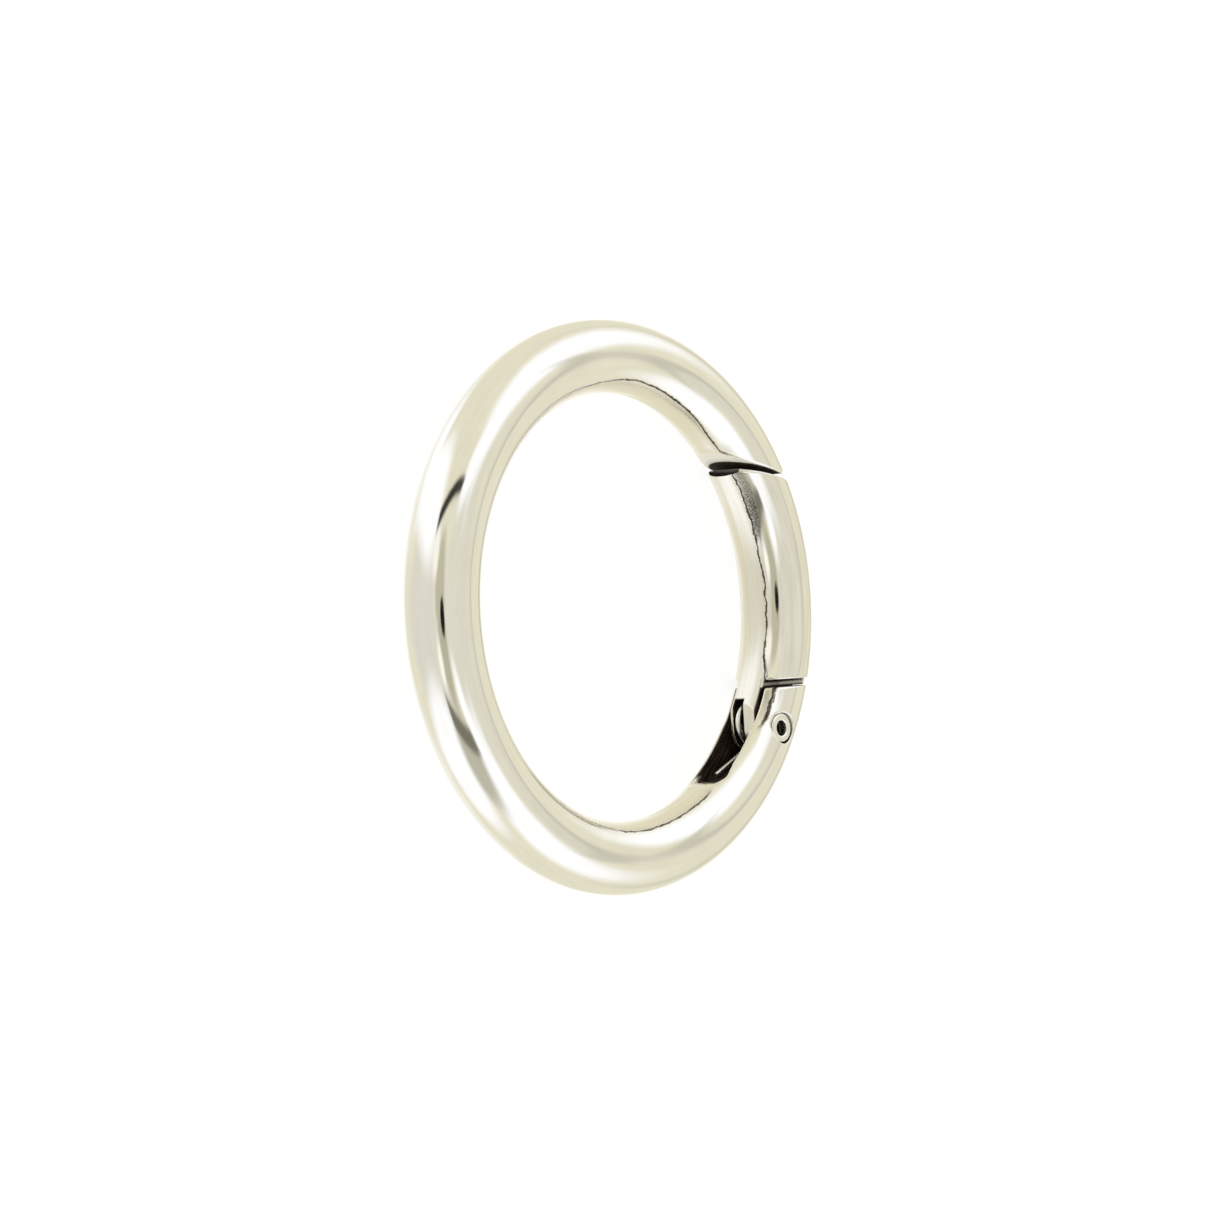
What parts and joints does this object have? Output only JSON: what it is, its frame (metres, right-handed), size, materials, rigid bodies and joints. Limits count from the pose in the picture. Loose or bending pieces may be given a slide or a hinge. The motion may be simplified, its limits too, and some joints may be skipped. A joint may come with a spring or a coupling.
{
  "type": "spring gate ring",
  "caption": "Round spring-gate key ring: a solid round ring with a curved gate that turns inward on a riveted hinge and is closed by a torsion spring.",
  "frame": {"origin": "centre of the ring's eye, halfway through its thickness", "axes": "+Z along the ring's axis, so the ring lies flat in XY; +X towards the middle of the gate; +Y towards the gate's latch end, so the hinge is at -Y"},
  "size_m": [0.051, 0.051, 0.0066],
  "materials": {
    "body_nickel": "polished nickel plate on cast zinc",
    "gate_nickel": "polished nickel plate on cast zinc",
    "rivet_nickel": "nickel plated steel, rolled edge",
    "spring_steel": "drawn spring wire"
  },
  "bodies": {
    "ring": {"ring_body": "body_nickel", "hinge_rivet": "rivet_nickel", "torsion_spring": "spring_steel"},
    "gate": {"gate": "gate_nickel"}
  },
  "joints": [
    {"name": "gate_hinge", "type": "hinge", "parent": "ring", "child": "gate", "pos_m": [0.01841, -0.01186, 0], "axis": [0, 0, 1], "range_deg": [0, 35], "stiffness_Nm_per_rad": 0.017, "springref_deg": -57.3, "deforming": ["torsion_spring"]}
  ]
}
